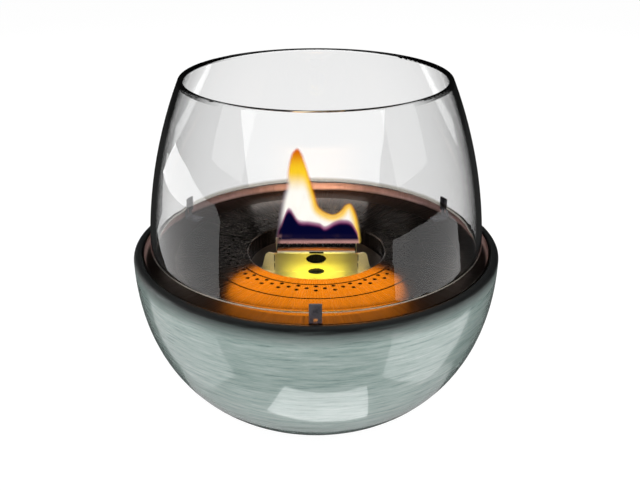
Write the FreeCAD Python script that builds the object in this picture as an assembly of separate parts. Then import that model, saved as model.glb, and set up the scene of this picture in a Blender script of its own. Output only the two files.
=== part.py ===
"""Tabletop fireplace: a ceramic bowl, a metal tray in its rim, a glass on three clips, and a lift-out burner.

Millimetres, +Z up. The origin is the middle of the face that stands on the table, and -Y is the front.
"""

import FreeCAD
import Part
from math import cos, radians, sin
import os

V = FreeCAD.Vector
UP = V(0, 0, 1)
CENTRE = V(0, 0, 0)

# Turns, counts and angles
full_turn = 360
half_turn = 180
quarter_turn = 90
eighth_turn = 45
clip_count = 3
foot_pad_count = 4
hole_rows = 3
holes_per_row = 33
wing_fold_angle = 30

# Shared by all pieces
cut_overrun = 1.0
body_clearance = 0.3

# Ceramic bowl
bowl_radius = 125.0
bowl_height = 115.5
bowl_wall = 7.0
bowl_side_reach = 86.0
bowl_base_reach = 12.0
rim_width = 5.4
rim_outer_round = 3.7
rim_inner_round = 0.9
ledge_width = 8.1
ledge_thickness = 5.0
ledge_slope = 6.5
foot_radius = 58.0
foot_ring_width = 10.0
foot_ring_height = 2.0

# Pads under the foot ring
foot_pad_radius = 4.5
foot_pad_thickness = 1.5

# Tray and the gasket under it
tray_depth = 6.3
tray_sheet = 1.2
tray_fit = 0.4
tray_lip_drop = 0.3
tray_flare = 3.8
tray_seat_width = 5.0
gasket_thickness = 1.5
gasket_margin = 0.5

# Burner ring and the collar inside it
ring_width = 17.9
ring_sheet = 1.5
ring_groove = 1.2
ring_step_width = 1.5
ring_step_sheet = 1.2
hole_radius = 1.35
hole_row_margin = 1.8
hole_row_pitch = 2.85
mouth_radius = 47.5
mouth_round = 1.2
collar_width = 8.0
neck_wall = 1.2
neck_lip_width = 4.5
recess_depth = 11.2

# Fuel tank, overflow pan and wool
tank_depth = 48.0
tank_wall = 1.0
tank_corner = 5.0
pan_gap = 1.5
pan_floor_gap = 3.0
pan_wall = 0.8
wool_height = 22.0
wool_round = 3.0

# Wick box
box_sheet = 1.0
box_width = 57.8
box_depth = 27.4
box_height = 15.4
box_bend = 1.8
flange_reach = 6.2
flange_width = 53.2
wing_length = 10.3
wing_top_length = 6.4
wing_height = 13.4
wing_shoulder = 3.2
window_width = 13.9
window_height = 6.9
window_rise = 9.4
grip_slot_width = 9.8
grip_slot_height = 1.4
grip_slot_rise = 13.3
fuel_opening_width = 11.3
fuel_opening_height = 2.4
fuel_opening_reach = 3.5
slit_width = 0.6
slit_length = 5.0
slit_lower_rise = 1.2
slit_upper_rise = 7.6
tab_width = 3.6
tab_spread = 24.6
base_fit = 1.0

# Wick and its sleeve
wick_width = 55.0
wick_slot_gap = 1.0
wick_top_drop = 1.2
wick_round = 1.0
wick_fit = 0.5
sleeve_sheet = 0.8
sleeve_height = 12.0

# Glass and its clips
glass_lift = 3.1
glass_height = 111.4
glass_wall = 3.5
glass_top_radius = 88.2
glass_bulge = 5.4
glass_foot_round = 1.45
clip_width = 7.6
clip_sheet = 1.2
clip_gap = 0.4
clip_margin = 0.5
clip_rise = 10.2
clip_bend = 1.8
clip_foot_length = 11.0
clip_tongue_width = 2.4
clip_dimple_width = 2.6
clip_dimple_height = 3.2
clip_dimple_depth = 0.6
clip_dimple_rise = 5.0
clip_pad_thickness = 0.8
rivet_radius = 1.5
rivet_head_radius = 2.5
rivet_head_height = 0.9
rivet_tail_radius = 2.2
rivet_tail_height = 0.7
rivet_fit = 0.1

# Heights of the main faces above the table
foot_z = foot_pad_thickness
rim_z = foot_z + bowl_height
floor_z = rim_z - tray_depth
tray_under_z = floor_z - tray_sheet
ledge_z = tray_under_z - gasket_thickness
collar_under_z = floor_z - ring_sheet
ring_step_z = collar_under_z - ring_step_sheet
recess_z = floor_z - recess_depth
neck_lip_z = recess_z - box_sheet
tank_floor_z = collar_under_z - tank_depth
wool_top_z = tank_floor_z + tank_wall + wool_height
box_top_z = recess_z + box_height
glass_foot_z = rim_z + glass_lift
tongue_z = glass_foot_z - clip_pad_thickness

# Radii that follow from the fits, from the outside in
rim_bore = bowl_radius - rim_width
ledge_radius = rim_bore - ledge_width
tray_lip_radius = rim_bore - tray_fit
tray_floor_radius = tray_lip_radius - tray_flare
clip_outer_radius = tray_floor_radius - clip_margin
clip_face_radius = clip_outer_radius - clip_sheet
glass_foot_radius = clip_face_radius - clip_gap
rivet_place_radius = clip_face_radius - clip_foot_length / 2
collar_radius = mouth_radius + collar_width
ring_bore = collar_radius + ring_groove
ring_radius = ring_bore + ring_width
tray_bore = ring_radius + ring_groove
neck_radius = mouth_radius + neck_wall
tank_bore = neck_radius + body_clearance
tank_radius = tank_bore + tank_wall
pan_bore = tank_radius + pan_gap
pan_radius = pan_bore + pan_wall

# The flame's slot between the two flanges, the wick in it, and the opening that the wick passes through
box_slot_width = box_depth - flange_reach - flange_reach
wick_thickness = box_slot_width - wick_slot_gap - wick_slot_gap
wick_bore_width = wick_width + wick_fit + wick_fit
wick_bore_depth = wick_thickness + wick_fit + wick_fit


def line(start, end):
    return Part.LineSegment(start, end).toShape()


def arc(start, middle, end):
    return Part.Arc(start, middle, end).toShape()


def bezier(*poles):
    curve = Part.BezierCurve()
    curve.setPoles(list(poles))
    return curve.toShape()


def path(*points):
    """Straight edges from each point to the next."""
    return [line(a, b) for a, b in zip(points, points[1:])]


def at(radius, z):
    """A point of a turned outline."""
    return V(radius, 0, z)


def round_corner(start, corner, end):
    """An arc that leaves start towards the corner and arrives at end from it, with legs of one length."""
    first = start - corner
    bisector = (first.normalize() + (end - corner).normalize()).normalize()
    leg = (start - corner).Length
    half_angle = bisector.getAngle(first)
    middle = corner + bisector * (leg * (1 - sin(half_angle)) / cos(half_angle))
    return arc(start, middle, end)


def turned(edges):
    return Part.Face(Part.Wire(edges)).revolve(CENTRE, UP, full_turn)


def turned_polygon(*points):
    return turned(path(*points, points[0]))


def block(width, depth, height, x, y, z):
    """A block centred on x and y, standing on z."""
    return Part.makeBox(width, depth, height, V(x - width / 2, y - depth / 2, z))


def spun(shape, angle):
    copy = shape.copy()
    copy.rotate(CENTRE, UP, angle)
    return copy


def around(shape, count, first_angle=0):
    """Equal copies of a shape round the axis."""
    return [spun(shape, first_angle + i * full_turn / count) for i in range(count)]


# Bowl and foot


def bowl_outer_poles():
    widest_z = rim_z - rim_outer_round
    return [
        at(bowl_radius, widest_z),
        at(bowl_radius, widest_z - bowl_side_reach),
        at(foot_radius + bowl_base_reach, foot_z),
        at(foot_radius, foot_z),
    ]


def bowl_inner_poles():
    widest, side, base, foot = bowl_outer_poles()
    start_z = ledge_z - ledge_thickness - ledge_slope
    inward = V(-bowl_wall, 0, bowl_wall)
    return [at(bowl_radius - bowl_wall, start_z), side + inward, base + inward, foot + inward]


def ceramic_bowl():
    outer = bowl_outer_poles()
    inner = bowl_inner_poles()
    foot_bore = foot_radius - foot_ring_width
    crown = at(bowl_radius - rim_outer_round, rim_z)
    lip = at(rim_bore + rim_inner_round, rim_z)
    bore_top = at(rim_bore, rim_z - rim_inner_round)
    inside = [
        bore_top,
        at(rim_bore, ledge_z),
        at(ledge_radius, ledge_z),
        at(ledge_radius, ledge_z - ledge_thickness),
        inner[0],
    ]
    under = [
        outer[-1],
        at(foot_bore, foot_z),
        at(foot_bore - foot_ring_height, foot_z + foot_ring_height),
        at(0, foot_z + foot_ring_height),
        at(0, inner[-1].z),
        inner[-1],
    ]
    edges = [
        bezier(*outer),
        *path(*under),
        bezier(*reversed(inner)),
        *reversed(path(*inside)),
        round_corner(bore_top, at(rim_bore, rim_z), lip),
        line(lip, crown),
        round_corner(crown, at(bowl_radius, rim_z), outer[0]),
    ]
    return turned(Part.__sortEdges__(edges))


def foot_pads():
    place = V(foot_radius - foot_ring_width / 2, 0, 0)
    pad = Part.makeCylinder(foot_pad_radius, foot_pad_thickness, place)
    return Part.makeCompound(around(pad, foot_pad_count, half_turn / foot_pad_count))


# Tray, gasket and clips


def tray_gasket():
    inner = ledge_radius + gasket_margin
    return turned_polygon(
        at(inner, ledge_z),
        at(tray_floor_radius, ledge_z),
        at(tray_floor_radius, tray_under_z),
        at(inner, tray_under_z),
    )


def rivet_holes():
    length = clip_sheet + tray_sheet + cut_overrun + cut_overrun
    start = V(rivet_place_radius, 0, tray_under_z - cut_overrun)
    hole = Part.makeCylinder(rivet_radius + rivet_fit, length, start)
    return around(hole, clip_count, -quarter_turn)


def burner_tray():
    seat_z = collar_under_z
    wall_radius = tray_bore + tray_sheet
    seat_bore = tray_bore - tray_seat_width
    lip_z = rim_z - tray_lip_drop
    lip_inside = tray_lip_radius - tray_sheet
    edges = [
        *path(
            at(tray_floor_radius, tray_under_z),
            at(wall_radius, tray_under_z),
            at(wall_radius, seat_z - tray_sheet),
            at(seat_bore, seat_z - tray_sheet),
            at(seat_bore, seat_z),
            at(tray_bore, seat_z),
            at(tray_bore, floor_z),
            at(tray_floor_radius, floor_z),
        ),
        bezier(at(tray_floor_radius, floor_z), at(lip_inside, floor_z), at(lip_inside, lip_z)),
        line(at(lip_inside, lip_z), at(tray_lip_radius, lip_z)),
        bezier(
            at(tray_lip_radius, lip_z),
            at(tray_lip_radius, tray_under_z),
            at(tray_floor_radius, tray_under_z),
        ),
    ]
    return turned(edges).cut(Part.makeCompound(rivet_holes()))


def clip_strip():
    """The bent strip before it is cut: a foot on the tray and a plate outside the glass."""
    top_z = rim_z + clip_rise
    inner_bend = clip_bend - clip_sheet
    bend_x = clip_outer_radius - clip_bend
    toe = clip_face_radius - clip_foot_length
    foot_top_z = floor_z + clip_sheet
    bend_z = floor_z + clip_bend
    lean = clip_bend * sin(radians(eighth_turn))
    inner_lean = inner_bend * sin(radians(eighth_turn))
    edges = [
        line(at(toe, floor_z), at(bend_x, floor_z)),
        arc(at(bend_x, floor_z), at(bend_x + lean, bend_z - lean), at(clip_outer_radius, bend_z)),
        *path(
            at(clip_outer_radius, bend_z),
            at(clip_outer_radius, top_z),
            at(clip_face_radius, top_z),
            at(clip_face_radius, bend_z),
        ),
        arc(
            at(clip_face_radius, bend_z),
            at(bend_x + inner_lean, bend_z - inner_lean),
            at(bend_x, foot_top_z),
        ),
        *path(at(bend_x, foot_top_z), at(toe, foot_top_z), at(toe, floor_z)),
    ]
    strip = Part.Face(Part.Wire(edges)).extrude(V(0, clip_width, 0))
    strip.translate(V(0, -clip_width / 2, 0))
    return strip


def clip_tongue_length():
    return glass_wall + clip_gap


def glass_clip(angle):
    """A strip with a dimple pressed in its face, and below it a tongue bent inwards out of a window."""
    tongue_length = clip_tongue_length()
    window_depth = clip_sheet + cut_overrun + cut_overrun
    middle = clip_face_radius + clip_sheet / 2
    tongue_under_z = tongue_z - clip_sheet
    dimple_x = clip_outer_radius + (cut_overrun - clip_dimple_depth) / 2
    dimple = block(
        clip_dimple_depth + cut_overrun,
        clip_dimple_width,
        clip_dimple_height,
        dimple_x,
        0,
        rim_z + clip_dimple_rise,
    )
    window = block(window_depth, clip_tongue_width, tongue_length, middle, 0, tongue_under_z - tongue_length)
    tongue_x = clip_outer_radius - (tongue_length + clip_sheet) / 2
    tongue = block(tongue_length + clip_sheet, clip_tongue_width, clip_sheet, tongue_x, 0, tongue_under_z)
    clip = clip_strip().cut(Part.makeCompound([dimple, window])).fuse(tongue).removeSplitter()
    return spun(clip, angle).cut(Part.makeCompound(rivet_holes()))


def clip_rivets():
    head_z = floor_z + clip_sheet
    edges = [
        *path(
            at(0, head_z + rivet_head_height),
            at(0, tray_under_z - rivet_tail_height),
            at(rivet_tail_radius, tray_under_z - rivet_tail_height),
            at(rivet_tail_radius, tray_under_z),
            at(rivet_radius, tray_under_z),
            at(rivet_radius, head_z),
            at(rivet_head_radius, head_z),
        ),
        bezier(
            at(rivet_head_radius, head_z),
            at(rivet_head_radius, head_z + rivet_head_height),
            at(0, head_z + rivet_head_height),
        ),
    ]
    rivet = turned(edges)
    rivet.translate(V(rivet_place_radius, 0, 0))
    return Part.makeCompound(around(rivet, clip_count, -quarter_turn))


def clip_pads():
    length = clip_tongue_length()
    pad = block(length, clip_tongue_width, clip_pad_thickness, clip_face_radius - length / 2, 0, tongue_z)
    return Part.makeCompound(around(pad, clip_count, -quarter_turn))


# Glass


def glass_shade():
    middle_radius = (glass_foot_radius + glass_top_radius) / 2 + glass_bulge
    foot = at(glass_foot_radius, glass_foot_z)
    top = at(glass_top_radius, glass_foot_z + glass_height)
    waist = at(middle_radius, (foot.z + top.z) / 2)
    outer = arc(foot, waist, top)
    centre = outer.Curve.Center

    def inside(point):
        return point + (centre - point).normalize() * glass_wall

    rim_side = (top - centre).normalize()
    rim_along = V(-rim_side.z, 0, rim_side.x)
    rim_middle = (top + inside(top)) * 0.5 + rim_along * (glass_wall / 2)
    inner_foot = at(inside(foot).x, glass_foot_z)
    edges = [
        outer,
        arc(top, rim_middle, inside(top)),
        arc(inside(top), inside(waist), inner_foot),
        line(inner_foot, foot),
    ]
    glass = turned(edges)
    foot_edges = [edge for edge in glass.Edges if edge.BoundBox.ZMax < glass_foot_z + glass_foot_round]
    return glass.makeFillet(glass_foot_round, [edge for edge in foot_edges if edge.Closed])


# Burner


def burner_ring():
    step_bore = collar_radius - ring_step_width
    step_outer = ring_bore + ring_step_sheet
    ring = turned_polygon(
        at(ring_bore, floor_z),
        at(ring_radius, floor_z),
        at(ring_radius, collar_under_z),
        at(step_outer, collar_under_z),
        at(step_outer, ring_step_z),
        at(step_bore, ring_step_z),
        at(step_bore, collar_under_z),
        at(ring_bore, collar_under_z),
    )
    return ring.cut(Part.makeCompound(air_holes()))


def air_holes():
    """Three rows of holes, the middle row half a pitch round from its neighbours."""
    holes = []
    length = ring_sheet + ring_step_sheet + cut_overrun + cut_overrun
    start_z = ring_step_z - cut_overrun
    pitch = full_turn / holes_per_row
    for row in range(hole_rows):
        radius = ring_bore + hole_row_margin + row * hole_row_pitch
        hole = Part.makeCylinder(hole_radius, length, V(radius, 0, start_z))
        holes += around(hole, holes_per_row, -quarter_turn + (row % 2) * pitch / 2)
    return holes


def burner_collar():
    lip_bore = mouth_radius - neck_lip_width
    lip_under_z = neck_lip_z - neck_wall
    edges = [
        *path(
            at(mouth_radius, floor_z - mouth_round),
            at(mouth_radius, neck_lip_z),
            at(lip_bore, neck_lip_z),
            at(lip_bore, lip_under_z),
            at(neck_radius, lip_under_z),
            at(neck_radius, collar_under_z),
            at(collar_radius, collar_under_z),
            at(collar_radius, floor_z),
            at(mouth_radius + mouth_round, floor_z),
        ),
        round_corner(
            at(mouth_radius + mouth_round, floor_z),
            at(mouth_radius, floor_z),
            at(mouth_radius, floor_z - mouth_round),
        ),
    ]
    return turned(edges)


def drawn_can(radius, wall, under_z, top_z, corner):
    """A deep-drawn can with a rounded bottom corner."""
    bore = radius - wall
    floor = under_z + wall
    inner_corner = corner - wall
    edges = [
        line(at(0, under_z), at(radius - corner, under_z)),
        round_corner(at(radius - corner, under_z), at(radius, under_z), at(radius, under_z + corner)),
        *path(
            at(radius, under_z + corner),
            at(radius, top_z),
            at(bore, top_z),
            at(bore, floor + inner_corner),
        ),
        round_corner(at(bore, floor + inner_corner), at(bore, floor), at(bore - inner_corner, floor)),
        *path(at(bore - inner_corner, floor), at(0, floor), at(0, under_z)),
    ]
    return turned(edges)


def fuel_tank():
    return drawn_can(tank_radius, tank_wall, tank_floor_z, collar_under_z, tank_corner)


def overflow_pan():
    """The can round the tank, fixed under the collar. The space between the two holds a spill."""
    under_z = tank_floor_z - pan_floor_gap - pan_wall
    return drawn_can(pan_radius, pan_wall, under_z, collar_under_z, tank_corner + pan_floor_gap)


def tank_wool():
    radius = tank_bore - body_clearance
    under_z = tank_floor_z + tank_wall
    edges = [
        line(at(0, under_z), at(radius - tank_corner, under_z)),
        round_corner(
            at(radius - tank_corner, under_z),
            at(radius, under_z),
            at(radius, under_z + tank_corner),
        ),
        line(at(radius, under_z + tank_corner), at(radius, wool_top_z - wool_round)),
        round_corner(
            at(radius, wool_top_z - wool_round),
            at(radius, wool_top_z),
            at(radius - wool_round, wool_top_z),
        ),
        *path(at(radius - wool_round, wool_top_z), at(0, wool_top_z), at(0, under_z)),
    ]
    return turned(edges)


# Wick box


def oval(width, height):
    """A flat oval, wider than high, that lies level on the axis."""
    curve = Part.Ellipse(CENTRE, width / 2, height / 2)
    return Part.Face(Part.Wire(curve.toShape()))


def front_oval(width, height, centre_z):
    """An oval prism that runs through the front plate, used for cutting."""
    face = oval(width, height)
    face.rotate(CENTRE, V(1, 0, 0), quarter_turn)
    face.translate(V(0, -box_depth / 2 - cut_overrun, centre_z))
    return face.extrude(V(0, box_sheet + cut_overrun + cut_overrun, 0))


def box_flange():
    """The bent top edge, from the front plate back to the flame slot."""
    front_y = -box_depth / 2
    bend_y = front_y + box_bend
    bend_z = box_top_z - box_bend
    slot_y = -box_slot_width / 2
    inner_bend = box_bend - box_sheet
    lean = box_bend * cos(radians(eighth_turn))
    inner_lean = inner_bend * cos(radians(eighth_turn))
    left = -flange_width / 2
    under_z = box_top_z - box_sheet
    edges = [
        arc(
            V(left, front_y, bend_z),
            V(left, bend_y - lean, bend_z + lean),
            V(left, bend_y, box_top_z),
        ),
        *path(
            V(left, bend_y, box_top_z),
            V(left, slot_y, box_top_z),
            V(left, slot_y, under_z),
            V(left, bend_y, under_z),
        ),
        arc(
            V(left, bend_y, under_z),
            V(left, bend_y - inner_lean, bend_z + inner_lean),
            V(left, front_y + box_sheet, bend_z),
        ),
        line(V(left, front_y + box_sheet, bend_z), V(left, front_y, bend_z)),
    ]
    return Part.Face(Part.Wire(edges)).extrude(V(flange_width, 0, 0))


def box_wing(side):
    """One wing, folded back from the end of the front plate. Side is 1 on the right and -1 on the left."""
    fold = V(side * box_width / 2, -box_depth / 2, recess_z)
    along = V(side * cos(radians(wing_fold_angle)), sin(radians(wing_fold_angle)), 0)
    inward = V(-side * along.y, abs(along.x), 0)
    toe = fold + along * wing_length
    shoulder = fold + along * wing_top_length + UP * wing_height
    slope = (toe - shoulder).normalize()
    flat_end = shoulder - along * wing_shoulder
    round_start = shoulder + slope * wing_shoulder
    edges = [
        *path(fold, toe, round_start),
        round_corner(round_start, shoulder, flat_end),
        *path(flat_end, fold + UP * wing_height, fold),
    ]
    return Part.Face(Part.Wire(edges)).extrude(inward * box_sheet)


def box_plate():
    """The upright plate with its bent flange and the tabs that stand in the base, before it is cut."""
    plate_y = (box_sheet - box_depth) / 2
    plate = block(box_width, box_sheet, box_height - box_bend, 0, plate_y, recess_z)
    tabs = [
        block(tab_width, box_sheet, box_sheet, side * tab_spread / 2, plate_y, neck_lip_z)
        for side in (-1, 1)
    ]
    return plate.multiFuse([box_flange(), *tabs]).removeSplitter()


def plate_openings():
    """The oval window, the slot over it and the upper half of the fuel opening."""
    slot_y = (box_bend - cut_overrun - box_depth) / 2
    slot_z = recess_z + grip_slot_rise
    return [
        front_oval(window_width, window_height, recess_z + window_rise),
        front_oval(fuel_opening_width, fuel_opening_height + fuel_opening_height, recess_z),
        block(grip_slot_width, box_bend + cut_overrun, grip_slot_height, 0, slot_y, slot_z),
    ]


def fold_slits():
    """Two slits in each fold line, where the wings leave the plate."""
    depth = box_sheet + cut_overrun + cut_overrun
    plate_y = (box_sheet - box_depth) / 2
    slits = []
    for side in (-1, 1):
        slit_x = side * (box_width - slit_width) / 2
        for rise in (slit_lower_rise, slit_upper_rise):
            slits.append(block(slit_width, depth, slit_length, slit_x, plate_y, recess_z + rise))
    return slits


def wick_box_front():
    sheet = box_plate().multiFuse([box_wing(-1), box_wing(1)]).removeSplitter()
    return sheet.cut(Part.makeCompound([*plate_openings(), *fold_slits()]))


def wick_box_back():
    """The plate behind the wick, which has no wings."""
    return spun(box_plate().cut(Part.makeCompound(plate_openings())), half_turn)


def wick_box_base():
    base = Part.makeCylinder(mouth_radius - base_fit, box_sheet, V(0, 0, neck_lip_z))
    height = box_sheet + cut_overrun + cut_overrun
    under_z = neck_lip_z - cut_overrun
    plate_y = (box_depth - box_sheet) / 2
    slots = [block(wick_bore_width, wick_bore_depth, height, 0, 0, under_z)]
    for end in (-1, 1):
        fuel = oval(fuel_opening_width, fuel_opening_reach + fuel_opening_reach)
        fuel.translate(V(0, end * box_depth / 2, under_z))
        slots.append(fuel.extrude(UP * height))
        for side in (-1, 1):
            slots.append(block(tab_width, box_sheet, height, side * tab_spread / 2, end * plate_y, under_z))
    return base.cut(Part.makeCompound(slots))


def wick_sleeve():
    wall = sleeve_sheet + sleeve_sheet
    under_z = neck_lip_z - sleeve_height
    outer = block(wick_bore_width + wall, wick_bore_depth + wall, sleeve_height, 0, 0, under_z)
    inner_height = sleeve_height + cut_overrun + cut_overrun
    inner = block(wick_bore_width, wick_bore_depth, inner_height, 0, 0, under_z - cut_overrun)
    return outer.cut(inner)


def wick():
    top_z = box_top_z - wick_top_drop
    solid = block(wick_width, wick_thickness, top_z - wool_top_z, 0, 0, wool_top_z)
    top_edges = [edge for edge in solid.Edges if edge.BoundBox.ZMin > top_z - wick_round]
    return solid.makeFillet(wick_round, top_edges)


front_angle, right_angle, left_angle = [i * full_turn / clip_count - quarter_turn for i in range(clip_count)]

nodes = {
    "ceramic_bowl": ceramic_bowl(),
    "foot_pads": foot_pads(),
    "tray_gasket": tray_gasket(),
    "burner_tray": burner_tray(),
    "front_glass_clip": glass_clip(front_angle),
    "right_glass_clip": glass_clip(right_angle),
    "left_glass_clip": glass_clip(left_angle),
    "clip_rivets": clip_rivets(),
    "clip_pads": clip_pads(),
    "glass_shade": glass_shade(),
    "burner_ring": burner_ring(),
    "burner_collar": burner_collar(),
    "fuel_tank": fuel_tank(),
    "overflow_pan": overflow_pan(),
    "tank_wool": tank_wool(),
    "wick_box_base": wick_box_base(),
    "wick_box_front": wick_box_front(),
    "wick_box_back": wick_box_back(),
    "wick_sleeve": wick_sleeve(),
    "wick": wick(),
}

os.makedirs("parts", exist_ok=True)
for name, shape in nodes.items():
    solids = len(shape.Solids)
    print(f"{name}: {solids} solid(s), valid {shape.isValid()}, {shape.Volume:.0f} cubic mm")
    shape.exportStep(f"parts/{name}.step")
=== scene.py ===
"""Looks of the tabletop fireplace: materials, flame, wick and wool fibres, and a plain white studio.

Metres, +Z up, -Y to the front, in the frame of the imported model.
"""

import math
import random

import bpy
import numpy as np
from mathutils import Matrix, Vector

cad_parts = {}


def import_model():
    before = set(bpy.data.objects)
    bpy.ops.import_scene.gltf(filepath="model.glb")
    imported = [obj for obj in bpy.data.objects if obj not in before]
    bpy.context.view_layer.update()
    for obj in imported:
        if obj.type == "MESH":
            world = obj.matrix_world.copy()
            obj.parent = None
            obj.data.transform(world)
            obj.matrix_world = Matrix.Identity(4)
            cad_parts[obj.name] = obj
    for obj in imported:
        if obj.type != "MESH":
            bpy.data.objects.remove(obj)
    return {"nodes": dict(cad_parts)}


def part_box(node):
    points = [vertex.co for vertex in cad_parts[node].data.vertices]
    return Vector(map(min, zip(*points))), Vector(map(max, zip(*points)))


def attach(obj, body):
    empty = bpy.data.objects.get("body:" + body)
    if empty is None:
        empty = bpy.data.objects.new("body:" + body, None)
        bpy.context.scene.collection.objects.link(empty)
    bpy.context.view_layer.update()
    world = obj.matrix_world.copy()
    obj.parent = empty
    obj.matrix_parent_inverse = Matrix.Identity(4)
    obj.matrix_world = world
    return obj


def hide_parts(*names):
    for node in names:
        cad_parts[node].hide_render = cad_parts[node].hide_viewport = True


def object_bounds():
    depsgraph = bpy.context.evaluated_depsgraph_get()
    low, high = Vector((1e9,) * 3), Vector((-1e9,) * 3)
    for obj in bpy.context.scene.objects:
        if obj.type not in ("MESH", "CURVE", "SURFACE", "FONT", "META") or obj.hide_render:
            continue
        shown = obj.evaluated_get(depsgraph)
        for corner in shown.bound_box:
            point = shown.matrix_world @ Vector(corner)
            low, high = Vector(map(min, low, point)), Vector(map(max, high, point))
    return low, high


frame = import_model()
cad_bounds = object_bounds()
nodes = frame["nodes"]

# Camera, with its lens and sensor in millimetres
camera_place = (0.0026, -0.5464, 0.3572)
camera_pitch = math.radians(24.11)
camera_lens = 48.195
camera_sensor = 36.0

# Glaze: the black band is measured down from the top of the rim
black_band_top = 0.0019
black_band_fade = 0.0114
black_band_wobble = 0.0060
glaze_relief = 0.00035
stroke_share = 0.62

# Tray and ring: radii round the axis
# Where the painted warm reflection on the tray's flared edge starts
painted_reflection_radius = 0.1164
painted_reflection_fade = 0.0012
strip_radius = 0.0978
strip_fade = 0.0012
brush_relief = 0.00006
broad_brush_share = 0.5

# Colours on the wick box: outwards from its middle, down from its top and up from its foot. The yellow in
# its middle is a painted glow of the flame, the pale line along its bend a painted highlight and the dark on
# its base painted shade; its browned top is from heat.
painted_glow_reach = 0.030
painted_glow_wobble = 0.005
wing_start = 0.0280
wing_blend = 0.0012
bend_highlight_depth = 0.0021
bend_high = 0.0006
highlight_and_brown_blend = 0.0005
base_shade_side = 0.0360
base_shade_blend = 0.0030
base_shade_height = 0.0020
polish_relief = 0.00002

# Painted shade on the base of the wick box, from front to back
base_shade_from = -0.0120
base_shade_to = -0.0040

# Clips, cans, pads and fibre
clip_grain_relief = 0.00003
draw_mark_relief = 0.00004
pad_grain_relief = 0.00003
fibre_relief = 0.0004

# Glass
glass_foot_height = 0.0040
# The dark rim of the glass is painted shade, measured down from its top
painted_rim_height = 0.0028
painted_rim_blend = 0.0006
glass_ripple = 0.0004

# Flame: height of its edge over the top of the wick box, along the slot
flame_edge = [
    (-0.0296, 0.0000), (-0.0276, 0.0113), (-0.0256, 0.0262), (-0.0236, 0.0357), (-0.0211, 0.0436),
    (-0.0193, 0.0564), (-0.0169, 0.0652), (-0.0126, 0.0688), (-0.0087, 0.0652), (-0.0058, 0.0564),
    (-0.0029, 0.0458), (-0.0002, 0.0357), (0.0026, 0.0262), (0.0102, 0.0214), (0.0156, 0.0232),
    (0.0197, 0.0284), (0.0245, 0.0291), (0.0286, 0.0203), (0.0302, 0.0113), (0.0319, 0.0000),
]

# Flame: height to which its heart is dark, along the slot
flame_dark_edge = [
    (-0.0296, 0.0060), (-0.0240, 0.0150), (-0.0187, 0.0262), (-0.0121, 0.0178), (-0.0049, 0.0166),
    (0.0021, 0.0148), (0.0062, 0.0124), (0.0126, 0.0154), (0.0180, 0.0170), (0.0238, 0.0158),
    (0.0286, 0.0085), (0.0319, 0.0060),
]

# Flame: its sheet, whose sway has waves in radians a metre
flame_depth = 0.0050
flame_thin_height = 0.0120
flame_columns = 150
flame_rows = 56
flame_sway = 0.0016
flame_sway_across = 70.0
flame_sway_up = 42.0

# Flame: where its colours change, in from its edge and up from its foot
flame_soft_edge = 0.0030
flame_yellow_edge = 0.0066
flame_red_height = 0.0530
flame_white_height = 0.0380
flame_fade = 0.0024
flame_foot_low = 0.00276
flame_foot_high = 0.00552
flame_gap_low = 0.00144
flame_gap_high = 0.00216
flame_lilac_width = 0.0050
flame_rim_width = 0.0026
flame_rim_height = 0.0220
flame_dark_fade = 0.0030
lit_height_share = 0.8
dark_full_share = 0.8
violet_rise_shares = (0.02, 0.3)
violet_fall_shares = (0.5, 1.0)
violet_share = 0.7
foot_glow_share = 0.9
cover_top_share = 0.9999
flame_colours = {
    "edge": (0.80, 0.20, 0.002),
    "yellow": (0.95, 0.60, 0.020),
    "white": (1.0, 0.97, 0.90),
    "tip": (0.66, 0.105, 0.001),
    "lilac": (0.34, 0.27, 0.36),
    "dark": (0.0006, 0.0010, 0.022),
    "violet": (0.30, 0.045, 0.18),
    "foot": (0.50, 0.26, 0.24),
    "rim": (1.0, 0.66, 0.10),
}

# Wick: its twist and turn are in radians, and its soot is measured down from its top
wick_bundles_across = 16
wick_bundles_deep = 4
wick_sides = 20
wick_rings = 14
wick_fray = 0.0005
wick_swell_share = 1.25
wick_strands = 5
wick_strand_share = 0.10
wick_round_share = 0.14
wick_blunt_share = 0.02
wick_twist = 9.0
wick_turn = 6.0
wick_seed = 7
wick_soot_low = 0.018
wick_soot_high = 0.013

# Wool
wool_voxel = 0.0016
wool_lump_size = 0.0070
wool_lump_depth = 0.0022

# Studio: floor and surroundings
floor_half = 3.0
floor_seen_level = 0.97
floor_gloss_level = 0.012
world_level = 1.0
fill_level = 0.10
plain_white = (1.0, 1.0, 1.0, 1.0)

# Panels on the floor: level of light, and outline as x and y
card_rise = 0.0006
low_cards = {
    "left_low_card": (0.55, [
        (-0.269, 0.062), (-0.174, 0.0), (-0.131, -0.042), (-0.103, -0.068), (-0.104, -0.135),
        (-0.185, -0.170), (-0.250, -0.146),
    ]),
    "front_low_card": (1.5, [
        (-0.040, -0.159), (0.062, -0.148), (0.043, -0.096), (0.012, -0.103), (-0.045, -0.108),
    ]),
    "right_low_card": (0.80, [
        (0.180, -0.242), (0.272, -0.009), (0.224, -0.027), (0.170, -0.053), (0.133, -0.070),
        (0.113, -0.085), (0.086, -0.151), (0.124, -0.187),
    ]),
}
foot_card_level = 0.32
foot_card_outer = 0.150
foot_card_inner = 0.082
foot_card_degrees = range(-165, -14, 15)

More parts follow.
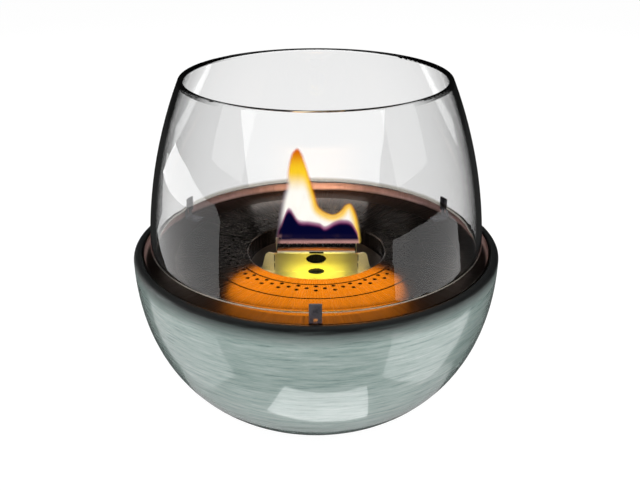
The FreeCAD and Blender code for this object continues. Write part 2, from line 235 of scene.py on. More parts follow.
# Panels at the sides: outline as y and z, and the line as x and y to which each runs on over the floor
side_card_x = 0.6
left_card_level = 1.6
left_card_line = [
    (-0.347, 0.0), (-0.348, 0.128), (-0.287, 0.165), (-0.192, 0.164), (0.030, 0.193), (0.400, 0.115),
    (0.382, 0.060), (0.310, 0.0),
]
left_floor_line = [(-0.329, -0.222), (-0.36, 0.10), (-0.40, 0.25)]
right_card_level = 1.5
right_card_line = [
    (-0.570, 0.0), (-0.562, 0.076), (-0.321, 0.103), (-0.072, 0.110), (-0.017, 0.097), (0.096, 0.038),
    (0.100, 0.0),
]
right_floor_line = [(0.475, -0.45), (0.29, -0.286), (0.36, -0.16), (0.38, 0.05), (0.52, 0.085)]
corner_card_x = -0.595
corner_card_level = 4.0
corner_card_line = [(-0.196, 0.165), (0.030, 0.193), (0.261, 0.182), (0.420, 0.060), (-0.035, 0.107)]

# Panels behind the glass
behind_level = 2.4
behind_y = 0.140
behind_left = -0.058
behind_right = 0.044
behind_low = 0.117
behind_high = 0.137
backdrop_level = 1.32
backdrop_y = 0.200
backdrop_low = 0.075
backdrop_low_left = -0.0650
backdrop_low_right = 0.0590
backdrop_high = 0.156
backdrop_high_left = -0.0720
backdrop_high_right = 0.0637

# Dark tent
tent_half = 1.6
tent_front = -1.0
tent_bend = 0.8
tent_back = 1.4
tent_back_left = -0.22
tent_back_right = 0.12
tent_height = 1.8
tent_level = 0.012
ceiling_level = 0.40

# Soft boxes: place, width and power
soft_box_height = 0.8
soft_boxes = {
    "left_soft_box": ((-0.95, -0.45, 0.70), 0.6, 3.4),
    "right_soft_box": ((0.95, -0.35, 0.65), 0.6, 3.4),
    "front_soft_box": ((0.0, -1.10, 0.75), 1.0, 4.0),
    "top_soft_box": ((0.0, -0.20, 1.30), 1.0, 8.0),
    "back_left_soft_box": ((-0.80, 1.00, 0.75), 0.6, 3.0),
    "back_right_soft_box": ((0.80, 1.00, 0.75), 0.6, 3.0),
}

# Lamps of the flame: place over the top of the wick box, aim over its top or its foot, spread in degrees
flame_lamps = {
    "flame_front_lamp": {
        "place": (0.0, -0.009, 0.023), "aim": (0.0, -0.100, -0.007), "aim_from": "top",
        "size": (0.124, 0.040), "power": 0.032, "colour": (1.0, 0.30, 0.004), "spread": 90.0,
    },
    "flame_back_lamp": {
        "place": (0.0, 0.001, 0.030), "aim": (0.0, 0.100, -0.030), "aim_from": "top",
        "size": (0.090, 0.030), "power": 0.035, "colour": (1.0, 0.70, 0.42), "spread": 76.0,
    },
    "flame_low_lamp": {
        "place": (0.0, -0.037, -0.002), "aim": (0.0, -0.014, 0.003), "aim_from": "foot",
        "size": (0.050, 0.006), "power": 0.0058, "colour": (1.0, 0.88, 0.23), "spread": 180.0,
    },
}


# Shader helpers


def material(name):
    made = bpy.data.materials.new(name)
    made.use_nodes = True
    made.node_tree.nodes.clear()
    return made


def add(tree, kind, sockets=None, **settings):
    """A shader node. Sockets gives its inputs, each another node's output or a plain value."""
    node = tree.nodes.new("ShaderNode" + kind)
    for name, value in settings.items():
        setattr(node, name, value)
    for name, value in (sockets or {}).items():
        if isinstance(value, bpy.types.NodeSocket):
            tree.links.new(value, node.inputs[name])
        else:
            node.inputs[name].default_value = value
    return node


def surface(made, shader, kind="OutputMaterial"):
    """Ends a material or the world in the output of its shader."""
    output = add(made.node_tree, kind)
    made.node_tree.links.new(shader, output.inputs["Surface"])
    return output


def finished(made, sockets):
    """Ends a material in one shader with these inputs."""
    shader = add(made.node_tree, "BsdfPrincipled", sockets)
    return surface(made, shader.outputs["BSDF"])


def either(tree, factor, first, second):
    """The first shader where the factor is 0 and the second where it is 1."""
    sockets = {0: factor, 1: first.outputs[0], 2: second.outputs[0]}
    return add(tree, "MixShader", sockets).outputs[0]


def vectors(tree, operation, *values, output="Vector"):
    return add(tree, "VectorMath", dict(enumerate(values)), operation=operation).outputs[output]


def sums(tree, operation, first, second):
    return add(tree, "Math", {0: first, 1: second}, operation=operation).outputs[0]


def place(tree):
    return add(tree, "TexCoord").outputs["Object"]


def along(tree, axis):
    """The place on the object along one axis."""
    return add(tree, "SeparateXYZ", {0: place(tree)}).outputs[axis]


def across(tree):
    """Distance from the middle, to the left and to the right alike."""
    return add(tree, "Math", {0: along(tree, "X")}, operation="ABSOLUTE").outputs[0]


def stretched(tree, scale):
    """The place on the object, scaled along each axis."""
    return vectors(tree, "MULTIPLY", place(tree), scale)


def level_place(tree):
    return stretched(tree, (1.0, 1.0, 0.0))


def radius_of(tree):
    return vectors(tree, "LENGTH", level_place(tree), output="Value")


def outward(tree):
    """The level direction away from the axis."""
    return vectors(tree, "NORMALIZE", level_place(tree))


def radial_streaks(tree, count, length_count):
    """A vector for noise that runs in lines from the axis outwards, with no seam."""
    around = vectors(tree, "MULTIPLY", outward(tree), (count, count, 0.0))
    lift = add(tree, "CombineXYZ", {"Z": sums(tree, "MULTIPLY", radius_of(tree), length_count)})
    return vectors(tree, "ADD", around, lift.outputs[0])


def noise(tree, vector, detail=4.0, roughness=0.6, scale=1.0):
    sockets = {"Vector": vector, "Scale": scale, "Detail": detail, "Roughness": roughness}
    return add(tree, "TexNoise", sockets).outputs["Fac"]


def spread(tree, value, low, high, to_low=0.0, to_high=1.0):
    """Maps low to high of a value onto another range, and stops at its ends."""
    sockets = {"Value": value, "From Min": low, "From Max": high, "To Min": to_low, "To Max": to_high}
    return add(tree, "MapRange", sockets).outputs["Result"]


def step_up(tree, value, start, blend):
    """0 up to the start, and 1 from the end of the blend on."""
    return spread(tree, value, start, start + blend)


def step_down(tree, value, start, blend):
    """1 up to the start, and 0 from the end of the blend on."""
    return spread(tree, value, start, start + blend, 1.0, 0.0)


def wobbled(tree, value, pattern, reach):
    """A value that a pattern pushes up and down, by half the reach each way."""
    push = sums(tree, "MULTIPLY", sums(tree, "SUBTRACT", pattern, 0.5), reach)
    return sums(tree, "ADD", value, push)


def shared(tree, first, second, first_share):
    """Two patterns added up, the first by its share and the second by the rest."""
    part = sums(tree, "MULTIPLY", first, first_share)
    return sums(tree, "ADD", part, sums(tree, "MULTIPLY", second, 1.0 - first_share))


def ramp(tree, factor, stops):
    """A colour ramp. Stops are pairs of a share and a colour."""
    node = add(tree, "ValToRGB", {"Fac": factor})
    elements = node.color_ramp.elements
    while len(elements) < len(stops):
        elements.new(0.5)
    for element, (share, colour) in zip(elements, stops):
        element.position = share
        element.color = (*colour, 1.0)
    return node.outputs["Color"]


def mixed(tree, factor, first, second):
    sockets = {"Fac": factor, "Color1": first, "Color2": second}
    return add(tree, "MixRGB", sockets).outputs["Color"]


def bump(tree, height, distance, strength):
    sockets = {"Height": height, "Distance": distance, "Strength": strength}
    return add(tree, "Bump", sockets).outputs["Normal"]


# Materials


def glaze():
    """Sage glaze brushed on in level strokes, running into black at the rim."""
    made = material("sage_glaze")
    tree = made.node_tree
    strokes = noise(tree, stretched(tree, (26.0, 26.0, 420.0)), detail=6.0, roughness=0.70)
    hairs = noise(tree, stretched(tree, (90.0, 90.0, 1300.0)), detail=4.0, roughness=0.68)
    clouds = noise(tree, stretched(tree, (17.0, 17.0, 24.0)), detail=2.0)
    brushed = shared(tree, strokes, hairs, stroke_share)
    green = ramp(tree, brushed, [
        (0.37, (0.245, 0.345, 0.316)),
        (0.47, (0.415, 0.535, 0.500)),
        (0.55, (0.510, 0.620, 0.585)),
        (0.66, (0.705, 0.780, 0.752)),
    ])
    green = mixed(tree, spread(tree, clouds, 0.35, 0.65, 0.0, 0.22), green, (0.36, 0.47, 0.44, 1.0))
    band_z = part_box("ceramic_bowl")[1].z - black_band_top - black_band_fade
    edge = wobbled(tree, along(tree, "Z"), strokes, black_band_wobble)
    black = step_up(tree, edge, band_z, black_band_fade)
    dull = sums(tree, "MULTIPLY", black, 0.36)
    finished(made, {
        "Base Color": mixed(tree, black, green, (0.004, 0.005, 0.005, 1.0)),
        "Roughness": sums(tree, "ADD", spread(tree, clouds, 0.3, 0.7, 0.16, 0.26), dull),
        "Specular IOR Level": 0.75,
        "Coat Weight": spread(tree, black, 0.0, 0.8, 1.0, 0.0),
        "Coat IOR": 1.95,
        "Coat Roughness": 0.06,
        "Normal": bump(tree, brushed, glaze_relief, 0.50),
    })
    return made


def painted_flare_reflection(tree):
    """1 on the inner face of the tray's flared edge, where copper pink is painted as the flame's warm
    reflection, and 0 elsewhere.
    """
    far_out = step_up(tree, radius_of(tree), painted_reflection_radius, painted_reflection_fade)
    facing = add(tree, "TexCoord").outputs["Normal"]
    away = vectors(tree, "DOT_PRODUCT", facing, outward(tree), output="Value")
    return sums(tree, "MULTIPLY", far_out, spread(tree, away, -0.45, -0.20, 1.0, 0.0))


def bronzed_steel():
    """Dark bronzed sheet, brushed from the middle outwards, with copper pink painted on the inward face of
    its flared edge as the flame's warm reflection.
    """
    made = material("bronzed_steel")
    tree = made.node_tree
    broad = noise(tree, radial_streaks(tree, 26.0, 5.0), detail=3.0)
    fine = noise(tree, radial_streaks(tree, 210.0, 16.0), detail=2.0)
    ticks = noise(tree, radial_streaks(tree, 330.0, 40.0), detail=2.0)
    brushed = shared(tree, broad, fine, broad_brush_share)
    dark = ramp(tree, brushed, [
        (0.34, (0.066, 0.050, 0.039)),
        (0.50, (0.085, 0.064, 0.050)),
        (0.68, (0.112, 0.086, 0.069)),
    ])
    strip = step_up(tree, radius_of(tree), strip_radius, strip_fade)
    dark = mixed(tree, strip, dark, (0.062, 0.042, 0.030, 1.0))
    # Painted warm reflection of the flame: copper pink on the inward face of the flared edge
    copper_reflection = ramp(tree, brushed, [(0.35, (0.42, 0.245, 0.220)), (0.65, (0.58, 0.360, 0.330))])
    edge = painted_flare_reflection(tree)
    smooth = spread(tree, fine, 0.3, 0.7, 0.235, 0.285)
    dull = spread(tree, ticks, 0.36, 0.64, 0.28, 0.56)
    finished(made, {
        "Base Color": mixed(tree, edge, dark, copper_reflection),
        "Metallic": spread(tree, edge, 0.0, 1.0, 1.0, 0.45),
        "Roughness": add(tree, "Mix", {0: strip, 2: smooth, 3: dull}).outputs[0],
        "Anisotropic": 0.75,
        "Anisotropic Rotation": 0.25,
        "Normal": bump(tree, fine, brush_relief, 0.04),
        "Tangent": add(tree, "Tangent", direction_type="RADIAL", axis="Z").outputs[0],
    })
    return made


def clip_steel():
    """Satin dark sheet with fine upright grain and slightly worn spots."""
    made = material("clip_steel")
    tree = made.node_tree
    grain = noise(tree, stretched(tree, (2600.0, 2600.0, 160.0)), detail=2.0)
    wear = noise(tree, stretched(tree, (240.0, 240.0, 240.0)), detail=4.0)
    finished(made, {
        "Base Color": ramp(tree, wear, [
            (0.35, (0.062, 0.059, 0.067)),
            (0.60, (0.105, 0.100, 0.112)),
            (0.78, (0.21, 0.205, 0.22)),
        ]),
        "Roughness": spread(tree, grain, 0.3, 0.7, 0.42, 0.58),
        "Normal": bump(tree, grain, clip_grain_relief, 0.4),
    })
    return made


def painted_straw_glow(tree, grain, stain):
    """Painted glow of the flame: straw yellow that is strongest in the middle of the wick box."""
    reach = wobbled(tree, across(tree), stain, painted_glow_wobble)
    tint = ramp(tree, spread(tree, reach, 0.0, painted_glow_reach), [
        (0.0, (0.93, 0.92, 0.34)),
        (0.55, (0.86, 0.83, 0.40)),
        (1.0, (0.72, 0.66, 0.44)),
    ])
    return mixed(tree, spread(tree, grain, 0.35, 0.65, 0.0, 0.15), tint, (0.70, 0.60, 0.40, 1.0))


def bend_highlight_and_browning(tree, tint, top_z):
    """A painted highlight along the upper bend of the wick box, as a pale line, and a browned top over it.
    """
    # Painted highlight: a pale line along the upper bend
    bend = step_up(tree, along(tree, "Z"), top_z - bend_highlight_depth, highlight_and_brown_blend)
    tint = mixed(tree, bend, tint, (1.0, 0.96, 0.80, 1.0))
    browned = step_up(tree, along(tree, "Z"), top_z - bend_high, highlight_and_brown_blend)
    return mixed(tree, browned, tint, (0.13, 0.090, 0.055, 1.0))


def base_painted_shade(tree, tint, foot_z):
    """Painted shade: dark on the base of the wick box behind its front plate and beside it."""
    behind = spread(tree, along(tree, "Y"), base_shade_from, base_shade_to)
    beside = step_up(tree, across(tree), base_shade_side, base_shade_blend)
    on_base = step_down(tree, along(tree, "Z"), foot_z + base_shade_height, base_shade_height)
    # Painted shade behind the front plate and beside it
    painted_shade = sums(tree, "MULTIPLY", sums(tree, "MAXIMUM", behind, beside), on_base)
    return mixed(tree, painted_shade, tint, (0.030, 0.021, 0.015, 1.0))


def polished_steel():
    """Polished sheet that the flame has browned, with paler wings; its yellow is a painted glow of the
    flame, and it has a painted highlight along its bend and painted shade on its base.
    """
    made = material("polished_steel")
    tree = made.node_tree
    grain = noise(tree, stretched(tree, (120.0, 1400.0, 1400.0)), detail=3.0)
    stain = noise(tree, stretched(tree, (60.0, 60.0, 60.0)), detail=3.0)
    foot_z, top_z = (corner.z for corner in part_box("wick_box_front"))
    wing = step_up(tree, across(tree), wing_start, wing_blend)
    # Painted glow of the flame in the middle, with paler wings beside it
    tint = mixed(tree, wing, painted_straw_glow(tree, grain, stain), (0.95, 0.81, 0.43, 1.0))
    tint = base_painted_shade(tree, bend_highlight_and_browning(tree, tint, top_z), foot_z)
    finished(made, {
        "Base Color": tint,
        "Metallic": spread(tree, wing, 0.0, 1.0, 0.92, 0.35),
        "Roughness": spread(tree, stain, 0.3, 0.7, 0.30, 0.36),
        "Normal": bump(tree, grain, polish_relief, 0.15),
    })
    return made


def plain_steel():
    """Drawn sheet with upright draw marks and a dull cast."""
    made = material("plain_steel")
    tree = made.node_tree
    marks = noise(tree, stretched(tree, (900.0, 900.0, 14.0)), detail=3.0)
    cast = noise(tree, stretched(tree, (40.0, 40.0, 40.0)), detail=4.0)
    colour = ramp(tree, marks, [
        (0.3, (0.33, 0.33, 0.33)),
        (0.55, (0.48, 0.48, 0.475)),
        (0.75, (0.60, 0.60, 0.59)),
    ])
    finished(made, {
        "Base Color": mixed(tree, spread(tree, cast, 0.45, 0.7, 0.0, 0.5), colour, (0.30, 0.27, 0.23, 1.0)),
        "Metallic": 1.0,
        "Roughness": spread(tree, cast, 0.3, 0.7, 0.28, 0.45),
        "Normal": bump(tree, marks, draw_mark_relief, 0.4),
    })
    return made


def fibre(name, soot_from=None, soot_to=None, sheen=0.25):
    """Matted mineral fibre. Between the two heights, where they are given, it turns to soot."""
    made = material(name)
    tree = made.node_tree
    hairs = noise(tree, stretched(tree, (2600.0, 2600.0, 420.0)), detail=4.0, roughness=0.7)
    clumps = add(tree, "TexVoronoi", {"Vector": place(tree), "Scale": 420.0}).outputs["Distance"]
    colour = ramp(tree, hairs, [
        (0.3, (0.42, 0.39, 0.33)),
        (0.55, (0.66, 0.63, 0.56)),
        (0.75, (0.82, 0.80, 0.74)),
    ])
    colour = mixed(tree, spread(tree, clumps, 0.0, 0.6, 0.35, 0.0), colour, (0.30, 0.27, 0.22, 1.0))
    if soot_from is not None:
        ragged = wobbled(tree, along(tree, "Z"), hairs, soot_to - soot_from)
        colour = mixed(tree, spread(tree, ragged, soot_from, soot_to), colour, (0.003, 0.0025, 0.0025, 1.0))
    finished(made, {
        "Base Color": colour,
        "Roughness": 0.92,
        "Sheen Weight": sheen,
        "Normal": bump(tree, hairs, fibre_relief, 0.8),
    })
    return made


def pad_silicone():
    """Matt dark silicone with a fine moulded grain and dust."""
    made = material("pad_silicone")
    tree = made.node_tree
    grain = noise(tree, stretched(tree, (3200.0, 3200.0, 3200.0)), detail=2.0)
    dust = noise(tree, stretched(tree, (260.0, 260.0, 260.0)), detail=4.0)
    finished(made, {
        "Base Color": ramp(tree, dust, [(0.4, (0.035, 0.035, 0.036)), (0.75, (0.085, 0.084, 0.080))]),
        "Roughness": spread(tree, grain, 0.3, 0.7, 0.52, 0.70),
        "Normal": bump(tree, grain, pad_grain_relief, 0.5),
    })
    return made


def glass_tint_and_painted_shade(tree):
    """Painted shade: grey where the glass is seen edge on and nearly black so at its rim, where the glass
    would bend in its dark surroundings; brownish at its foot.
    """
    edge_on = add(tree, "LayerWeight", {"Blend": 0.5}).outputs["Facing"]
    # Painted shade where the glass is seen edge on
    tint = ramp(tree, edge_on, [
        (0.62, (1.0, 1.0, 1.0)),
        (0.78, (0.74, 0.74, 0.74)),
        (0.90, (0.48, 0.48, 0.48)),
        (1.0, (0.38, 0.38, 0.38)),
    ])
    # Painted shade: a nearly black rim
    painted_dark_rim = ramp(tree, edge_on, [(0.26, (1.0, 1.0, 1.0)), (0.46, (0.02, 0.02, 0.02))])
    foot_z, top_z = (corner.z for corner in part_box("glass_shade"))
    rim = step_up(tree, along(tree, "Z"), top_z - painted_rim_height, painted_rim_blend)
    half_foot = glass_foot_height / 2
    foot = step_down(tree, along(tree, "Z"), foot_z + half_foot, half_foot)
    return mixed(tree, foot, mixed(tree, rim, tint, painted_dark_rim), (0.48, 0.45, 0.40, 1.0))


def clear_glass():
    """Clear glass with the faint ripple and smears of a blown shade."""
    made = material("clear_glass")
    tree = made.node_tree
    ripple = noise(tree, stretched(tree, (30.0, 30.0, 7.0)), detail=1.0)
    smears = noise(tree, stretched(tree, (90.0, 90.0, 90.0)), detail=3.0)
    output = finished(made, {
        "Base Color": glass_tint_and_painted_shade(tree),
        "Roughness": spread(tree, smears, 0.5, 0.8, 0.0, 0.012),
        "IOR": 1.5,
        "Transmission Weight": 1.0,
        "Normal": bump(tree, ripple, glass_ripple, 0.12),
    })
    volume = add(tree, "VolumeAbsorption", {"Color": (0.50, 0.51, 0.51, 1.0), "Density": 60.0})
    tree.links.new(volume.outputs["Volume"], output.inputs["Volume"])
    return made


def flame_glow():
    """Burning gas: colour and cover come from the mesh, broken up by rising wisps."""
    made = material("flame_glow")
    tree = made.node_tree
    tint = add(tree, "Attribute", attribute_name="flame_tint")
    wisps = noise(tree, stretched(tree, (150.0, 150.0, 46.0)), detail=3.0)
    strength = spread(tree, wisps, 0.25, 0.75, 1.14, 1.30)
    glow = add(tree, "Emission", {"Color": tint.outputs["Color"], "Strength": strength})
    cover = sums(tree, "MULTIPLY", tint.outputs["Alpha"], spread(tree, wisps, 0.25, 0.5, 0.94, 1.0))
    surface(made, either(tree, cover, add(tree, "BsdfTransparent"), glow))
    made.cycles.emission_sampling = "NONE"
    return made


# Meshes


def new_piece(name, points, faces, smooth=True):
    mesh = bpy.data.meshes.new(name)
    mesh.from_pydata(points, [], faces)
    mesh.update()
    if smooth:
        mesh.polygons.foreach_set("use_smooth", [True] * len(mesh.polygons))
    piece = bpy.data.objects.new(name, mesh)
    bpy.context.scene.collection.objects.link(piece)
    return piece


def smooth_line(points, count):
    """Points on a smooth line through the given ones."""
    known = np.array(points)
    padded = np.vstack([2 * known[0] - known[1], known, 2 * known[-1] - known[-2]])
    line = []
    for spot in np.linspace(0, len(known) - 1, count):
        part = min(int(spot), len(known) - 2)
        share = spot - part
        before, start, end, after = padded[part:part + 4]
        slope = end - before
        bend = 2 * before - 5 * start + 4 * end - after
        twist = 3 * start - before - 3 * end + after
        line.append((2 * start + slope * share + bend * share * share + twist * share ** 3) / 2)
    return np.array(line)


def smooth_step(low, high, value):
    share = np.clip((value - low) / (high - low), 0, 1)
    return share * share * (3 - 2 * share)


def blended(first, second, share):
    return first + (np.array(second) - first) * share[:, None]


def flame_light(rise, edge, lit_left, low):
    """The glowing part: orange at its edge, then yellow and white, red at the tip and lilac at the left."""
    tip = max(height for _, height in flame_edge)
    colour = np.tile(flame_colours["edge"], (len(rise), 1))
    colour = blended(colour, flame_colours["yellow"], smooth_step(0.0, flame_soft_edge, edge))
    inside = smooth_step(flame_soft_edge / 2, flame_yellow_edge, edge)
    colour = blended(colour, flame_colours["white"], np.maximum(lit_left, inside) * low)
    colour = blended(colour, flame_colours["tip"], smooth_step(flame_red_height, tip, rise))
    lilac = lit_left * (1 - smooth_step(0.0, flame_lilac_width, edge)) * low
    return blended(colour, flame_colours["lilac"], lilac)


def dark_heart(colour, x, rise, edge):
    """Adds the dark gas over the wick, with a violet border."""
    line = smooth_line(flame_dark_edge, flame_columns)
    limit = np.interp(x, line[:, 0], line[:, 1])
    dark = 1 - smooth_step(limit - flame_dark_fade, limit + flame_dark_fade, rise)
    dark = dark * smooth_step(flame_fade / 3, flame_soft_edge, edge)
    colour = blended(colour, flame_colours["dark"], smooth_step(0.0, dark_full_share, dark))
    violet = smooth_step(*violet_rise_shares, dark) * (1 - smooth_step(*violet_fall_shares, dark))
    return blended(colour, flame_colours["violet"], violet_share * violet)


def flame_tints(x, rise, edge, lit_left):
    """Colour and cover of each point of the flame from its place and its distance to the flame's edge."""
    low = 1 - smooth_step(flame_white_height, flame_red_height, rise)
    colour = dark_heart(flame_light(rise, edge, lit_left, low), x, rise, edge)
    foot = 1 - smooth_step(flame_foot_low, flame_foot_high, rise)
    colour = blended(colour, flame_colours["foot"], foot_glow_share * foot)
    beside = 1 - smooth_step(flame_rim_height / 2, flame_rim_height, rise)
    rim = (1 - lit_left) * (1 - smooth_step(flame_fade / 2, flame_rim_width, edge)) * beside
    colour = blended(colour, flame_colours["rim"], rim)
    soft = flame_fade + (flame_lilac_width - flame_fade) * lit_left * low
    cover = smooth_step(0.0, 1.0, edge / soft) * smooth_step(flame_gap_low, flame_gap_high, rise)
    # The front face and the back face together give the cover
    return np.column_stack([colour, 1 - np.sqrt(1 - np.clip(cover, 0, cover_top_share))])


def flame_points(edge_line, foot_z):
    """Points of the front face and then of the back face, column by column from the foot up."""
    points = []
    for face in (-1, 1):
        for x, height in edge_line:
            height = max(height, 0.0)
            thin = min(1.0, height / flame_thin_height)
            for row in range(flame_rows):
                share = row / (flame_rows - 1)
                thick = flame_depth * math.sqrt(max(0.0, 1 - share * share)) * thin
                wave = math.sin(flame_sway_across * x + flame_sway_up * share * height)
                points.append((x, flame_sway * wave * share + face * thick, foot_z + share * height))
    return points


def flame_faces():
    half = flame_columns * flame_rows
    faces = []
    for column in range(flame_columns - 1):
        for row in range(flame_rows - 1):
            first = column * flame_rows + row
            front = (first, first + flame_rows, first + flame_rows + 1, first + 1)
            faces.append(front)
            faces.append(tuple(half + corner for corner in reversed(front)))
    return faces


def flame():
    """A sheet of fire as wide as the slot, thick at the foot and thin at the tips."""
    foot_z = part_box("wick_box_front")[1].z
    edge_line = smooth_line(flame_edge, flame_columns)
    points = flame_points(edge_line, foot_z)
    piece = new_piece("flame", points, flame_faces())
    spots = np.array(points)
    gaps = spots[:, None, [0, 2]] - (edge_line[None] + (0.0, foot_z))
    distance = np.sqrt((gaps ** 2).sum(axis=2))
    nearest = edge_line[distance.argmin(axis=1)]
    tip_x, tip_height = max(flame_edge, key=lambda point: point[1])
    lit_left = ((nearest[:, 0] < tip_x) & (nearest[:, 1] < lit_height_share * tip_height)).astype(float)
    tints = flame_tints(spots[:, 0], spots[:, 2] - foot_z, distance.min(axis=1), lit_left)
    layer = piece.data.color_attributes.new("flame_tint", "FLOAT_COLOR", "POINT")
    layer.data.foreach_set("color", tints.astype(np.float32).ravel())
    piece.data.materials.append(flame_glow())
    piece.visible_shadow = False
    piece.visible_diffuse = False
    piece.visible_glossy = False
    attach(piece, "wick_insert")


def wick_bundle(points, faces, centre, radius, low, high, turn):
    """One twisted bundle of strands with a rounded, frayed top."""
    first = len(points)
    for ring in range(wick_rings):
        share = ring / (wick_rings - 1)
        rounding = max(0.0, (share - (1 - wick_round_share)) / wick_round_share)
        wide = radius * math.sqrt(max(wick_blunt_share, 1 - rounding * rounding))
        z = low + (high - low) * share
        for side in range(wick_sides):
            angle = 2 * math.pi * side / wick_sides
            wave = math.cos(wick_strands * angle + turn + wick_twist * share)
            reach = wide * (1 - wick_strand_share + wick_strand_share * wave)
            points.append((centre[0] + reach * math.cos(angle), centre[1] + reach * math.sin(angle), z))
    for ring in range(wick_rings - 1):
        for side in range(wick_sides):
            here = first + ring * wick_sides + side
            beside = first + ring * wick_sides + (side + 1) % wick_sides
            faces.append((here, beside, beside + wick_sides, here + wick_sides))
    faces.append(tuple(range(first, first + wick_sides))[::-1])
    last = first + (wick_rings - 1) * wick_sides
    faces.append(tuple(range(last, last + wick_sides)))


def wick():
    """Rows of fibre bundles that stand in the slot, sooted at the top."""
    low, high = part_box("wick")
    chance = random.Random(wick_seed)
    step_x = (high.x - low.x) / wick_bundles_across
    step_y = (high.y - low.y) / wick_bundles_deep
    radius = wick_swell_share * min(step_x, step_y) / 2
    points = []
    faces = []
    for column in range(wick_bundles_across):
        for row in range(wick_bundles_deep):
            centre = (low.x + (column + 0.5) * step_x, low.y + (row + 0.5) * step_y)
            top = high.z - chance.uniform(0.0, 1.0) * wick_fray
            turn = chance.uniform(0.0, wick_turn)
            wick_bundle(points, faces, centre, radius, low.z, top, turn)
    piece = new_piece("wick_fibres", points, faces)
    made = fibre("wick_fibre", high.z - wick_soot_low, high.z - wick_soot_high, sheen=0.0)
    piece.data.materials.append(made)
    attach(piece, "wick_insert")
    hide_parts("wick")


def wool():
    """The pad in the tank, with a lumpy, matted surface."""
    piece = bpy.data.objects.new("wool_pad", nodes["tank_wool"].data.copy())
    bpy.context.scene.collection.objects.link(piece)
    even = piece.modifiers.new("even_mesh", "REMESH")
    even.mode = "VOXEL"
    even.voxel_size = wool_voxel
    even.use_smooth_shade = True
    lumps = bpy.data.textures.new("wool_lumps", "CLOUDS")
    lumps.noise_scale = wool_lump_size
    push = piece.modifiers.new("lumps", "DISPLACE")
    push.texture = lumps
    push.strength = -wool_lump_depth
    push.mid_level = 0.0
    piece.data.materials.clear()
    piece.data.materials.append(fibre("wool_fibre"))
    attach(piece, "burner")
    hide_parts("tank_wool")


def dress(made, *names):
    for name in names:
        nodes[name].data.materials.clear()
        nodes[name].data.materials.append(made)


# Studio


def thrown_back(tree):
    """1 for light that gloss or glass has thrown back, and 0 for all that is seen without that."""
    return sums(tree, "GREATER_THAN", add(tree, "LightPath").outputs["Glossy Depth"], 0.5)


def looked_at(tree):
    """1 for what is seen straight or through the glass."""
    path = add(tree, "LightPath")
    return sums(tree, "MAXIMUM", path.outputs["Is Camera Ray"], path.outputs["Is Transmission Ray"])


def square(half, z):
    return [(-half, -half, z), (half, -half, z), (half, half, z), (-half, half, z)]


def studio_floor():
    """White floor that keeps the shadow, shows as white paper, and is dim in gloss."""
    made = material("studio_floor")
    tree = made.node_tree
    back = thrown_back(tree)
    seen = sums(tree, "MULTIPLY", looked_at(tree), sums(tree, "SUBTRACT", 1.0, back))
    paper = noise(tree, stretched(tree, (300.0, 300.0, 300.0)))
    grey = ramp(tree, paper, [(0.3, (0.86, 0.86, 0.86)), (0.7, (0.88, 0.88, 0.88))])
    grey = mixed(tree, back, grey, (0.02, 0.02, 0.02, 1.0))
    matt = add(tree, "BsdfDiffuse", {"Color": mixed(tree, seen, grey, (0.10, 0.10, 0.10, 1.0))})
    seen_light = sums(tree, "MULTIPLY", seen, floor_seen_level)
    light = sums(tree, "ADD", seen_light, sums(tree, "MULTIPLY", back, floor_gloss_level))
    glow = add(tree, "Emission", {"Strength": light})
    both = add(tree, "AddShader", {0: matt.outputs[0], 1: glow.outputs[0]})
    surface(made, both.outputs[0])
    plane = new_piece("floor", square(floor_half, 0.0), [(0, 1, 2, 3)], smooth=False)
    plane.data.materials.append(made)


def studio_panel(name, corners, made):
    """A flat panel that isn't seen straight, throws no shadow and lights nothing matt."""
    made.cycles.emission_sampling = "NONE"
    panel = new_piece(name, corners, [tuple(range(len(corners)))], smooth=False)
    panel.data.materials.append(made)
    panel.visible_camera = False
    panel.visible_diffuse = False
    panel.visible_shadow = False
    return panel


def card(name, corners, level, through_glass=False):
    """A panel of light that shows in gloss, and where asked also in gloss that is seen through the glass."""
    made = material(name)
    tree = made.node_tree
    glow = add(tree, "Emission", {"Strength": level})
    shown = glow.outputs[0]
    if through_glass:
        shown = either(tree, thrown_back(tree), add(tree, "BsdfTransparent"), glow)
    surface(made, shown)
    panel = studio_panel(name, corners, made)
    panel.visible_transmission = through_glass


def backdrop_panel():
    """A brighter strip of the backdrop that shows through the middle of the glass."""
    made = material("backdrop_panel")
    tree = made.node_tree
    glow = add(tree, "Emission", {"Strength": backdrop_level})
    surface(made, either(tree, thrown_back(tree), glow, add(tree, "BsdfTransparent")))
    corners = [
        (backdrop_high_left, backdrop_y, backdrop_high),
        (backdrop_low_left, backdrop_y, backdrop_low),
        (backdrop_low_right, backdrop_y, backdrop_low),
        (backdrop_high_right, backdrop_y, backdrop_high),
    ]
    panel = studio_panel("backdrop_panel", corners, made)
    panel.visible_glossy = False


def on_floor(outline, rise):
    return [(x, y, rise) for x, y in outline]


def low_panels():
    """Panels on the floor in front of the bowl and round its foot."""
    for name, (level, outline) in low_cards.items():
        card(name, on_floor(outline, card_rise), level)
    turns = [math.radians(degrees) for degrees in foot_card_degrees]
    outer = [(foot_card_outer * math.cos(turn), foot_card_outer * math.sin(turn)) for turn in turns]
    inner = [(foot_card_inner * math.cos(turn), foot_card_inner * math.sin(turn)) for turn in turns]
    card("foot_card", on_floor(outer + inner[::-1], card_rise / 2), foot_card_level)


def side_panel(side, x, line, floor_line, level):
    """A panel that stands at one side, and one from its foot to a line on the floor."""
    card(f"{side}_card", [(x, y, z) for y, z in line], level)
    foot = [(x, line[0][0]), *floor_line, (x, line[-1][0])]
    card(f"{side}_floor_card", on_floor(foot, card_rise), level)


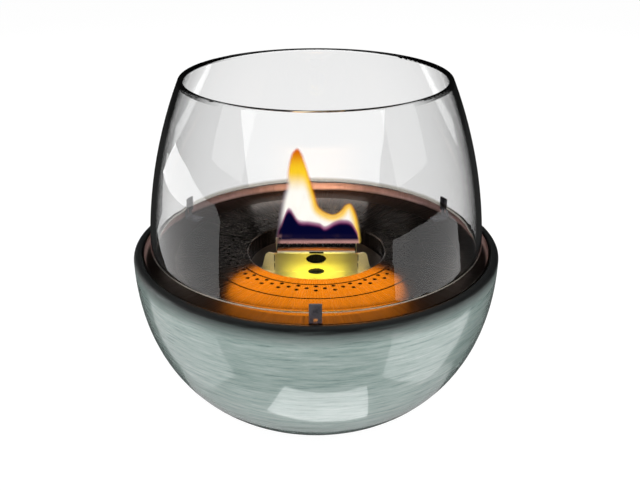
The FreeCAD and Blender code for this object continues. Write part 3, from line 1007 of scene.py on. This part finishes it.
def dark_tent():
    """Dim walls and a ceiling round the object."""
    wall = [
        (tent_back_left, tent_back), (-tent_half, tent_bend), (-tent_half, tent_front),
        (tent_half, tent_front), (tent_half, tent_bend), (tent_back_right, tent_back),
    ]
    for count, (near, far) in enumerate(zip(wall, wall[1:] + wall[:1]), 1):
        corners = [(*near, 0.0), (*far, 0.0), (*far, tent_height), (*near, tent_height)]
        card(f"wall_card_{count}", corners, tent_level, through_glass=True)
    card("ceiling_card", square(tent_half, tent_height), ceiling_level, through_glass=True)


def cards():
    """Panels of light and a dark tent round the object, as its gloss shows them."""
    low_panels()
    side_panel("left", -side_card_x, left_card_line, left_floor_line, left_card_level)
    side_panel("right", side_card_x, right_card_line, right_floor_line, right_card_level)
    card("left_corner_card", [(corner_card_x, y, z) for y, z in corner_card_line], corner_card_level)
    dark_tent()
    behind = [
        (behind_left, behind_y, behind_low), (behind_right, behind_y, behind_low),
        (behind_right, behind_y, behind_high), (behind_left, behind_y, behind_high),
    ]
    card("behind_card", behind, behind_level, through_glass=True)


def soft_box(name, where, target, width, height, power):
    lamp = bpy.data.lights.new(name, "AREA")
    lamp.shape = "RECTANGLE"
    lamp.size = width
    lamp.size_y = height
    lamp.energy = power
    holder = bpy.data.objects.new(name, lamp)
    bpy.context.scene.collection.objects.link(holder)
    holder.location = where
    heading = target - holder.location
    holder.rotation_euler = heading.to_track_quat("-Z", "Y").to_euler()
    holder.visible_camera = False
    holder.visible_glossy = False
    return holder


def flame_lamp(name, values, heights):
    """A one-sided lamp for the flame's light. It shows in gloss, but not straight or through the glass."""
    x, y, rise = values["place"]
    aim_x, aim_y, aim_rise = values["aim"]
    where = (x, y, heights["top"] + rise)
    target = Vector((aim_x, aim_y, heights[values["aim_from"]] + aim_rise))
    width, height = values["size"]
    holder = soft_box(name, where, target, width, height, values["power"])
    holder.data.shape = "ELLIPSE"
    holder.data.color = values["colour"]
    holder.data.spread = math.radians(values["spread"])
    holder.visible_glossy = True
    holder.visible_transmission = False
    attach(holder, "wick_insert")


def lights():
    middle = (cad_bounds[0] + cad_bounds[1]) / 2
    for name, (where, width, power) in soft_boxes.items():
        soft_box(name, where, middle, width, soft_box_height, power)
    foot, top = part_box("wick_box_front")
    heights = {"foot": foot.z, "top": top.z}
    for name, values in flame_lamps.items():
        flame_lamp(name, values, heights)


def world():
    """White for what the camera, gloss and glass see, and a plain dim fill for the rest."""
    made = bpy.data.worlds.new("studio_world")
    made.use_nodes = True
    tree = made.node_tree
    tree.nodes.clear()
    seen = sums(tree, "MAXIMUM", looked_at(tree), add(tree, "LightPath").outputs["Is Glossy Ray"])
    white = add(tree, "Background", {"Color": plain_white, "Strength": world_level})
    fill = add(tree, "Background", {"Color": plain_white, "Strength": fill_level})
    surface(made, either(tree, seen, fill, white), "OutputWorld")
    bpy.context.scene.world = made


def camera():
    lens = bpy.data.cameras.new("camera")
    lens.lens = camera_lens
    lens.sensor_width = camera_sensor
    lens.sensor_fit = "HORIZONTAL"
    holder = bpy.data.objects.new("camera", lens)
    bpy.context.scene.collection.objects.link(holder)
    holder.location = camera_place
    holder.rotation_euler = (math.pi / 2 - camera_pitch, 0, 0)
    bpy.context.scene.camera = holder


dress(glaze(), "ceramic_bowl")
dress(bronzed_steel(), "burner_tray", "burner_ring", "burner_collar")
dress(clip_steel(), "front_glass_clip", "right_glass_clip", "left_glass_clip", "clip_rivets")
dress(polished_steel(), "wick_box_base", "wick_box_front", "wick_box_back")
dress(plain_steel(), "fuel_tank", "overflow_pan", "wick_sleeve")
dress(fibre("gasket_fibre"), "tray_gasket")
dress(pad_silicone(), "foot_pads", "clip_pads")
dress(clear_glass(), "glass_shade")
wick()
wool()
flame()
studio_floor()
cards()
backdrop_panel()
lights()
world()
camera()
bpy.context.scene.view_settings.view_transform = "Standard"
